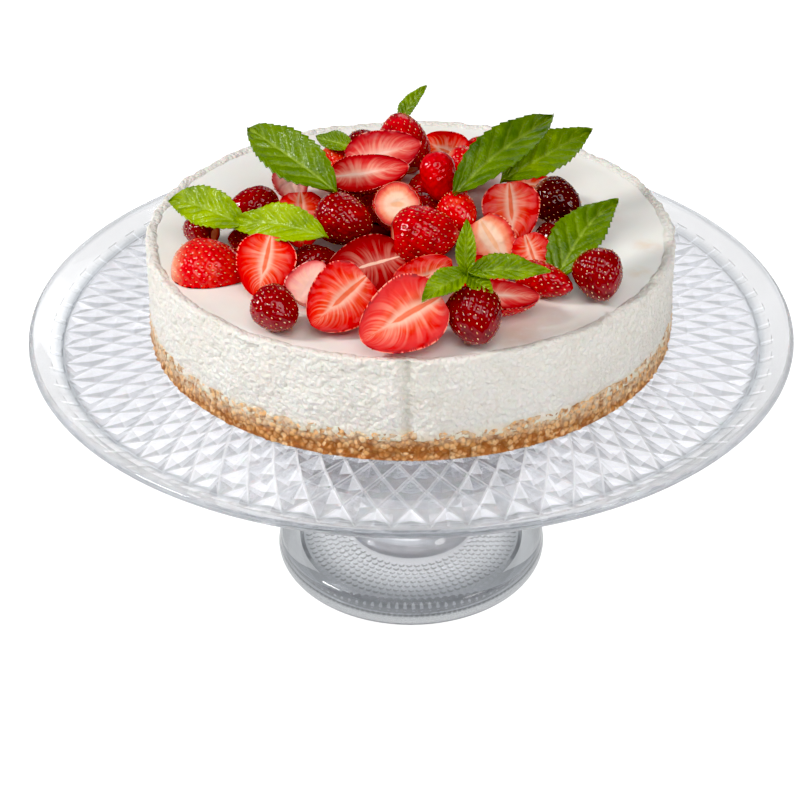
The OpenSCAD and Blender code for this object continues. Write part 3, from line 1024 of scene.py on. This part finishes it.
def strawberry(node, cut):
    """One strawberry with dimples, seeds and, where it is cut, a face of flesh with its own relief."""
    ripe, bare = RIPENESS.get(node, USUAL_RIPENESS), PALE_SHOULDERS.get(node, 0.0)
    matrix, length, girth = berry_frame(node, cut)
    chance = random.random()
    limit = END_CUT_SHARE if cut == "end" else 1.0
    points, along, rows, columns = skin_grid(length, girth, cut, limit)
    seeds = seed_places(length, girth, limit * 0.985)
    seeds += np.random.default_rng(int(chance * 1e6)).uniform(-1, 1, seeds.shape) * SEED_SCATTER
    if cut == "half":
        seeds = seeds[seeds[:, 2] < -0.5 * MM]
    skin = bumpy_skin(points, seeds, girth, cut, chance)
    build = Build()
    for point, share in zip(skin, along):
        build.add(point, (share, ripe, bare))
    closed = cut != "half"
    for k in range(rows - 1):
        build.faces.extend(band(k * columns, (k + 1) * columns, columns, closed))
    add_stem_end(build, skin[:columns], columns, closed)
    if cut == "half":
        add_cut_face(build, skin, along, rows, columns, chance)
    if cut == "end":
        add_end_face(build, skin, rows, columns, chance)
    axis = np.column_stack([seeds[:, 0] - 0.25 * girth * (seeds[:, 0] / length), seeds[:, 1:] * 0.0])
    sizes = [random.uniform(0.38, 0.66) * MM for _ in seeds]
    if node not in SEEDLESS:
        add_seeds(build, seeds * [1, 0.985, 0.985], axis, sizes, (0.5, ripe, bare))
    piece = new_object(
        node.replace("berry", "strawberry"), build.verts, build.faces,
        [SKIN, SEED, FLESH[FLESH_KINDS.get(node, "bright")]],
    )
    piece.data.polygons.foreach_set("material_index", build.slots)
    set_attribute(piece.data, "berry", build.marks)
    weld(piece.data)
    piece.matrix_world = matrix
    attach(piece, "cake")
    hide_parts(node)


def bumpy_skin(points, seeds, girth, cut, chance):
    """The skin's points with gentle lumps and a dimple round each seed, which a cut edge fades out."""
    radial = np.hypot(points[:, 1], points[:, 2])
    lumps = np.array([noise.noise(Vector(p) / (0.42 * girth) + Vector((chance * 50, 0, 0))) for p in points])
    swell = 1.0 + 0.035 * lumps * np.clip(radial / (0.2 * girth), 0, 1)
    sunk = dimple(points, seeds) * np.clip(radial / (1.5 * MM), 0, 1)
    if cut == "half":
        sunk *= np.clip(-points[:, 2] / (0.8 * MM), 0, 1)
    inward = points[:, 1:] / np.maximum(radial, 1e-9)[:, None]
    skin = points.copy()
    skin[:, 1:] = points[:, 1:] * swell[:, None] - inward * (sunk * DIMPLE_H)[:, None]
    return skin


def add_stem_end(build, rim, columns, closed):
    """A shallow hollow at the stem end, where the leaves were cut away. It starts from the first row."""
    ring = 0
    for share, depth in STEM_HOLLOW:
        start = len(build.verts)
        for x, y, z in rim:
            build.add((x + depth, y * share, z * share), STEM_MARK)
        build.faces.extend(band(ring, start, columns, closed))
        ring = start
    build.add((rim[0][0] + STEM_HOLLOW_DEPTH, 0.0, 0.0), STEM_MARK)
    build.faces.extend(fan(len(build.verts) - 1, ring, columns, closed))
    build.use_slot(SKIN_SLOT)


def core_width(along):
    """Half width of a strawberry's core, as a share of half the girth."""
    return 0.05 + 0.14 * math.sin(math.pi * min(1.0, along / 0.8)) ** 0.8 if along < 0.8 else 0.05


def add_cut_face(build, skin, along, rows, columns, chance):
    """The flat side of a halved berry, as a grid between the two edges of the skin."""
    across = 26
    start = len(build.verts)
    for k in range(rows):
        left, right = skin[k * columns], skin[k * columns + columns - 1]
        t = float(along[k * columns])
        wide = float(berry_share(t))
        for j in range(across + 1):
            share = j / across
            x, y, z = left + (right - left) * share
            u = 2 * share - 1
            here = Vector((x, y, chance * 0.3))
            from_core = abs(u) * wide / core_width(t)
            core = math.exp(-from_core**2) * min(1.0, max(0.0, (0.85 - t) * 4)) * min(1.0, t * 6)
            relief = 0.3 * noise.noise(here / (2.2 * MM)) - 0.5 * core + 0.3 * noise.noise(here / (6 * MM))
            edge = min(1.0, (1 - abs(u)) * 6)
            inside = max(0.0, math.sin(math.pi * k / (rows - 1))) ** 0.4
            fan_at = t - 0.7 * abs(u) * (t - 0.3) + (1.5 if u > 0 else 0.0)
            out = 1 - (1 - abs(u)) * wide**0.8
            mark = (fan_at, out, min(1.0, from_core / 3 + max(0.0, t - 0.52) * 1.4))
            build.add((x, y, z + relief * MM * edge * inside), mark)
    for row in range(start, start + (rows - 1) * (across + 1), across + 1):
        build.faces.extend(band(row, row + across + 1, across + 1, closed=False))
    build.use_slot(FLESH_SLOT)


def add_end_face(build, skin, rows, columns, chance):
    """The round face of a berry with its end cut off."""
    previous = (rows - 1) * columns
    rim = skin[previous:]
    rings = 14
    for k in range(rings):
        share = 1.0 - (k + 1) / (rings + 0.3) if k else 0.985
        start = len(build.verts)
        for j, (x, y, z) in enumerate(rim):
            here = Vector((y, z, chance)) * share
            relief = 0.25 * noise.noise(here / (2.0 * MM)) - 0.35 * math.exp(-(share / 0.25) ** 2)
            turn = 2 * math.pi * j / columns
            stretched = share * math.hypot(math.cos(turn) * 0.7, math.sin(turn) * 2.0)
            mark = (abs(2 * j / columns - 1) * 1.4, share**1.5, min(1.0, 0.02 + stretched * 0.7))
            build.add((x + relief * MM, y * share, z * share), mark)
        build.faces.extend(band(previous, start, columns))
        previous = start
    build.add((rim[0][0] - 0.4 * MM, 0.0, 0.0), (0.5, 0.0, 0.12))
    build.faces.extend(fan(len(build.verts) - 1, previous, columns))
    build.use_slot(FLESH_SLOT)


def weld(mesh):
    """Joins the points that lie on each other and breaks the shading along the cut edges."""
    bm = bmesh.new()
    bm.from_mesh(mesh)
    bmesh.ops.remove_doubles(bm, verts=bm.verts, dist=WELD_REACH)
    bmesh.ops.recalc_face_normals(bm, faces=bm.faces)
    for edge in bm.edges:
        if len({face.material_index for face in edge.link_faces}) > 1:
            edge.smooth = False
    bm.to_mesh(mesh)
    bm.free()


# How ripe the strawberries of a kind are, in the order of their numbers: 0 is orange red, 0.3 bright
# red, 0.55 crimson and 1 dark maroon. The others have the usual ripeness.
USUAL_RIPENESS = 0.3
RIPENESS = {
    f"{kind}_berry_{number:02}": ripe
    for kind, shades in (
        ("half", (0.24, 0.3, 0.3, 0.3, 0.3, 0.3, 0.3, 0.45, 0.3, 0.45, 0.4)),
        ("whole", (
            0.55, 0.62, 0.6, 0.38, 0.5, 0.42, 0.55, 0.4, 0.34, 0.6, 0.26, 0.85, 0.75, 0.55, 0.45, 0.45,
            0.7, 0.15, 0.3, 0.28, 0.55)),
    )
    for number, ripe in enumerate(shades, 1)
}
# Strawberries with a pale shoulder round the stem end, and how pale it is.
PALE_SHOULDERS = {
    "half_berry_01": 1.0, "half_berry_06": 0.5, "whole_berry_12": 0.5, "whole_berry_18": 1.0,
    "whole_berry_19": 1.0,
}
# What the cut flesh is like, where it isn't bright. The deep flesh is painted shade for a cut face in shadow.
FLESH_KINDS = {
    "half_berry_03": "frosted", "half_berry_07": "pink", "half_berry_08": "deep", "half_berry_10": "pink",
    "half_berry_11": "pink", "half_berry_13": "creamy", "half_berry_18": "frosted",
    "end_cut_berry_01": "creamy",
}
# A strawberry on which the photo shows no seeds.
SEEDLESS = {"whole_berry_09"}


def strawberries():
    for node in sorted(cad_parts):
        if "berry" in node:
            strawberry(node, node.split("_")[0])


# -------------------------------------------------------------------------- mint

LEAF_TEETH = 15
VEIN_PAIRS = 7
LEAF_THICK = 0.5 * MM


def leaf_share(along):
    """A leaf's half width as a share of its widest, at a share of its length from the base."""
    return np.sin(math.pi * np.clip(along, 0, 1) ** 0.75) ** 0.9


def leaf_relief(t, v, spread, width, seed):
    """Height above a leaf's middle line, and share of a vein, at shares of its length and half width."""
    reach = abs(v)
    vein_t = (t - 0.30 * reach * (1 - 0.4 * t)) * VEIN_PAIRS
    from_vein = abs((vein_t + 0.5) % 1.0 - 0.5) * 2
    side_vein = math.exp(-(from_vein / 0.20) ** 2) * (1 - reach**3) * (0.04 < t < 0.95)
    middle = math.exp(-(v * spread / (0.55 * MM)) ** 2)
    field = (1 - math.exp(-(from_vein / 0.5) ** 2)) * math.sin(math.pi * min(1, reach * 1.05)) ** 0.7
    curl = 0.18 * width * reach**2 * (1 - 0.5 * t)
    ripple = noise.noise(Vector((t * 4.5, v * 1.2, seed))) * 0.11 * width
    quilt = (0.85 * field - 0.6 * middle - 0.45 * side_vein) * MM * min(1, 8 * (1 - t))
    return curl + ripple * reach + quilt, min(1.0, middle + 0.6 * side_vein)


def leaf_surface(base, forward, side, up, length, width, sag, young, seed):
    """Points, faces and marks of one leaf: toothed edge, sunken veins and quilted fields between them."""
    rows, half = 90, 12
    points, marks = [], []
    for k in range(rows + 1):
        t = k / rows
        tooth = 1.0 - 0.11 * ((t * LEAF_TEETH) % 1.0) * (0.1 < t < 0.97)
        spread = max(0.7 * MM * (1 - t), float(leaf_share(t)) * width / 2 * tooth)
        sway = math.sin(t * math.pi * 1.3 + seed) * 0.03 * length * t
        for j in range(-half, half + 1):
            v = j / half
            lift, vein = leaf_relief(t, v, spread, width, seed)
            here = base + forward * length * t + up * (4 * sag * t * (1 - t) + lift)
            points.append(here + side * (v * spread + sway))
            marks.append((vein, young, 0.0))
    columns = 2 * half + 1
    count = len(points)
    points += [p - up * LEAF_THICK for p in points]
    marks += [(m[0] * 0.8, m[1], 1.0) for m in marks]
    faces = []
    for k in range(rows):
        for j in range(columns - 1):
            a = k * columns + j
            faces.append((a, a + columns, a + columns + 1, a + 1))
            faces.append((count + a, count + a + 1, count + a + columns + 1, count + a + columns))
    edge = [k * columns for k in range(rows + 1)] + [rows * columns + j for j in range(1, columns)]
    edge += [k * columns + columns - 1 for k in range(rows - 1, -1, -1)] + list(range(columns - 2, 0, -1))
    for a, b in zip(edge, edge[1:] + edge[:1]):
        faces.append((a, count + a, count + b, b))
    return points, faces, marks


def leaf_frame(node):
    """Base, forward, side, up, length, width and sag of a CAD leaf, from its solid's own shape."""
    co = np.array([v.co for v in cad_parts[node].data.vertices])
    middle = co.mean(0)
    first = co[np.argmax(((co - middle) ** 2).sum(1))]
    second = co[np.argmax(((co - first) ** 2).sum(1))]
    chord = second - first
    length = np.linalg.norm(chord)
    chord = chord / length
    rest = co - first - np.outer((co - first) @ chord, chord)
    spread = rest - rest.mean(0)
    across = np.linalg.svd(spread, full_matrices=False)[2][0]
    width = float(np.ptp(spread @ across))
    up = np.cross(chord, across)
    up = up if up[2] > 0 else -up
    places = (co - first) @ chord / length
    wide = places[np.argmax(np.abs(spread @ across))]
    base, forward = (first, chord) if wide < 0.5 else (second, -chord)
    sag = float(((co - first) @ up)[np.abs(places - 0.5) < 0.12].mean())
    side = np.cross(up, forward)
    return Vector(base), Vector(forward), Vector(side), Vector(up), float(length), width, sag


# How young the single leaves are, in the order of their numbers: 0 is dark and 1 yellow green.
YOUNG = [0.45, 0.75, 0.85, 0.55, 0.6, 0.3, 0.5, 0.36]
YOUNG_SPRIG = 0.65


def leaf_piece(name, parts, node):
    verts, faces, marks = [], [], []
    for points, part_faces, part_marks in parts:
        start = len(verts)
        verts.extend(points)
        marks.extend(part_marks)
        faces.extend(tuple(i + start for i in face) for face in part_faces)
    piece = new_object(name, verts, faces, [MINT])
    set_attribute(piece.data, "leaf", marks)
    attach(piece, "cake")
    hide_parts(node)


def mint_leaves():
    for index, young in enumerate(YOUNG):
        node = f"mint_leaf_{index + 1:02}"
        part = leaf_surface(*leaf_frame(node), young, index * 1.7)
        leaf_piece(node.replace("mint_leaf", "mint"), [part], node)


# The sprig's leaves, as the CAD solid has them: length, width, arch radius, roll, pitch and heading.
SPRIG = [
    (23, 9, 60, 0, 70, 92), (36, 14, 50, 25, 14, 2), (24, 14, 60, -15, 0, 220), (14, 10, 30, 20, -10, 320),
]
SPRIG_AT = (23, -101, 28)


def mint_sprig():
    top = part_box("cream_top")[1].z
    joint = Vector((SPRIG_AT[0] * MM, SPRIG_AT[1] * MM, top + SPRIG_AT[2] * MM))
    parts = []
    for index, (length, width, arch_r, roll, pitch, heading) in enumerate(SPRIG):
        turn = (
            Matrix.Rotation(math.radians(heading), 3, "Z")
            @ Matrix.Rotation(math.radians(-pitch), 3, "Y")
            @ Matrix.Rotation(math.radians(roll), 3, "X")
        )
        drop = length**2 / (2 * arch_r)
        lean = math.atan2(drop, length)
        turn = turn @ Matrix.Rotation(lean, 3, "Y")
        forward, side, up = (turn @ Vector(axis) for axis in ((1, 0, 0), (0, 1, 0), (0, 0, 1)))
        parts.append(leaf_surface(
            joint, forward, side, up, length * MM, width * MM, drop / 4 * MM, YOUNG_SPRIG, 20.0 + index))
    leaf_piece("mint_sprig_leaves", parts, "mint_sprig")


# ---------------------------------------------------------------- stage and view

WARM = (1.0, 0.995, 0.985)
# Round lamps that all aim at the cake: name, place, size across, power in watts, and colour.
LAMPS = [
    ("key", (-1.1, -0.25, 1.05), 0.35, 13.0, WARM),
    ("over", (0.1, -0.95, 1.25), 0.9, 8.4, WARM),
    ("fill", (1.2, -0.9, 0.9), 0.5, 5.5, (1.0, 0.985, 0.97)),
    ("back", (0.2, 1.3, 0.9), 0.7, 1.6, (0.97, 0.985, 1.0)),
]
LAMP_AIM = Vector((0.0, 0.0, 0.16))
SKY_LIGHT, MORE_IN_GLASS = 0.29, 0.4


def aimed(place, aim):
    """The turn of a lamp or camera that stands at a place and looks at another."""
    return (Vector(aim) - Vector(place)).to_track_quat("-Z", "Y")


def lamps():
    for name, place, size, watts, colour in LAMPS:
        lamp = bpy.data.lights.new(name, "AREA")
        lamp.shape = "DISK"
        lamp.size = size
        lamp.energy = watts
        lamp.color = colour
        holder = add_to_scene(name, lamp)
        holder.location = place
        holder.rotation_euler = aimed(place, LAMP_AIM).to_euler()


def sky():
    """A pale sky, brighter above and through glass, that the camera itself sees as white."""
    world = bpy.data.worlds.new("studio_world")
    world.use_nodes = True
    s = Nodes(world.node_tree)
    _, _, up = s.axes(s.coords("Generated"))
    colour = s.ramp(up, [(0.0, (0.50, 0.50, 0.51)), (1.0, (0.85, 0.85, 0.86))], "LINEAR")
    strength = s.plus(s.times(s.ray("Is Transmission Ray"), MORE_IN_GLASS), SKY_LIGHT)
    light = s.node("ShaderNodeBackground", {"Color": colour, "Strength": strength})
    white = s.node("ShaderNodeBackground", {"Color": (1.0, 1.0, 1.0)})
    seen = s.blend(s.ray("Is Camera Ray"), light.outputs["Background"], white.outputs["Background"])
    s.feed(seen, s.tree.nodes["World Output"].inputs["Surface"])
    bpy.context.scene.world = world


def stage():
    turns = np.arange(FLOOR_SIDES) * 2 * math.pi / FLOOR_SIDES
    floor = new_object(
        "studio_floor_disc", [(FLOOR_R * math.cos(a), FLOOR_R * math.sin(a), 0.0) for a in turns],
        [range(FLOOR_SIDES)], [floor_material()],
    )
    sky()
    lamps()


BLACK_LEVEL = 0.018
CAMERA_AT = (0.0, -0.6516, 0.5187)
CAMERA_AIM = (-0.0055, 0.0, 0.0920)
CAMERA_ROLL = math.radians(-0.42)
CAMERA_LENS, CAMERA_SENSOR = 68.1, 36.0


def camera():
    view = bpy.data.cameras.new("view")
    view.lens = CAMERA_LENS
    view.sensor_width = CAMERA_SENSOR
    view.clip_start = 0.01
    holder = add_to_scene("view", view)
    turn = aimed(CAMERA_AT, CAMERA_AIM).to_matrix() @ Matrix.Rotation(CAMERA_ROLL, 3, "Z")
    holder.matrix_world = Matrix.Translation(CAMERA_AT) @ turn.to_4x4()
    bpy.context.scene.camera = holder


camera()
glass_plate()
glass_foot()
crumb_base()
cheese_filling()
cream_top()
strawberries()
mint_leaves()
mint_sprig()
stage()

scene = bpy.context.scene
scene.view_settings.view_transform = "Standard"
scene.view_settings.use_curve_mapping = True
scene.view_settings.curve_mapping.black_level = (BLACK_LEVEL, BLACK_LEVEL, BLACK_LEVEL)
scene.view_settings.curve_mapping.update()
scene.cycles.use_denoising = True
